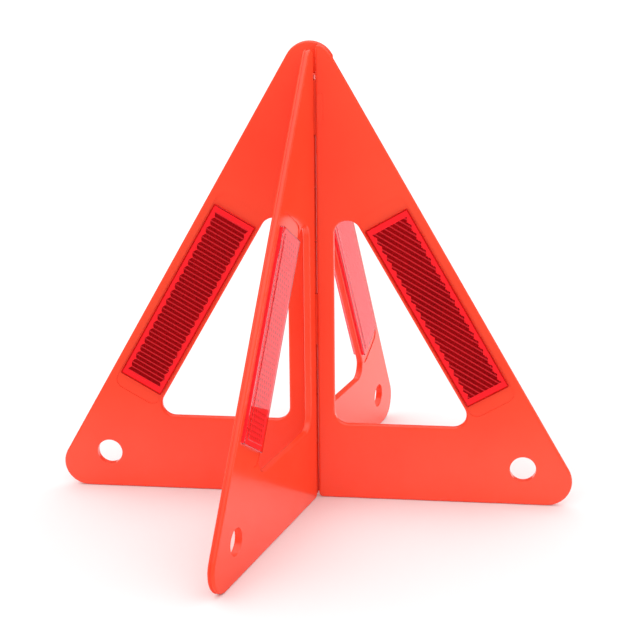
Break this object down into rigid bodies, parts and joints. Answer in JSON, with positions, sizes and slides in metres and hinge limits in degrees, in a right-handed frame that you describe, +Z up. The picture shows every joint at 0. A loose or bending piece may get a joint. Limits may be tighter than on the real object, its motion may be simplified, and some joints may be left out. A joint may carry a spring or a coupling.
{
  "type": "folding warning triangle",
  "caption": "Free-standing warning triangle that folds flat: rounded half-triangle leaves on an upright hinge, each with a window, a peg hole and red reflector tiles.",
  "frame": {"origin": "on the hinge axis, at the height of the surface that the leaves stand on", "axes": "+Z up along the hinge axis, +X along the right leaf, -Y towards the front leaf's side"},
  "size_m": [0.2206, 0.2156, 0.1939],
  "materials": {
    "leaf_plastic": "glossy translucent orange-red, with a smooth moulded surface",
    "reflector_lens": "clear red acrylic with moulded corner-cube prisms behind",
    "reflector_backing": "opaque red plate behind the prisms",
    "rod_plastic": "solid orange-red, smooth"
  },
  "bodies": {
    "left_leaf": {"left_leaf": "leaf_plastic", "left_outer_lens": "reflector_lens", "left_outer_backing": "reflector_backing", "left_inner_lens": "reflector_lens", "left_inner_backing": "reflector_backing", "hinge_rod": "rod_plastic", "rod_cap": "rod_plastic"},
    "front_leaf": {"front_leaf": "leaf_plastic", "front_outer_lens": "reflector_lens", "front_outer_backing": "reflector_backing", "front_inner_lens": "reflector_lens", "front_inner_backing": "reflector_backing"},
    "right_leaf": {"right_leaf": "leaf_plastic", "right_outer_lens": "reflector_lens", "right_outer_backing": "reflector_backing", "right_inner_lens": "reflector_lens", "right_inner_backing": "reflector_backing"},
    "rear_leaf": {"rear_leaf": "leaf_plastic", "rear_outer_lens": "reflector_lens", "rear_outer_backing": "reflector_backing", "rear_inner_lens": "reflector_lens", "rear_inner_backing": "reflector_backing"}
  },
  "joints": [
    {"name": "front_leaf_hinge", "type": "hinge", "parent": "left_leaf", "child": "front_leaf", "pos_m": [0, 0, 0.09], "axis": [0, 0, 1], "range_deg": [-68, 8]},
    {"name": "right_leaf_hinge", "type": "hinge", "parent": "left_leaf", "child": "right_leaf", "pos_m": [0, 0, 0.09], "axis": [0, 0, 1], "range_deg": [-6, 0]},
    {"name": "rear_leaf_hinge", "type": "hinge", "parent": "right_leaf", "child": "rear_leaf", "pos_m": [0, 0, 0.09], "axis": [0, 0, 1], "range_deg": [-68, 8]}
  ]
}
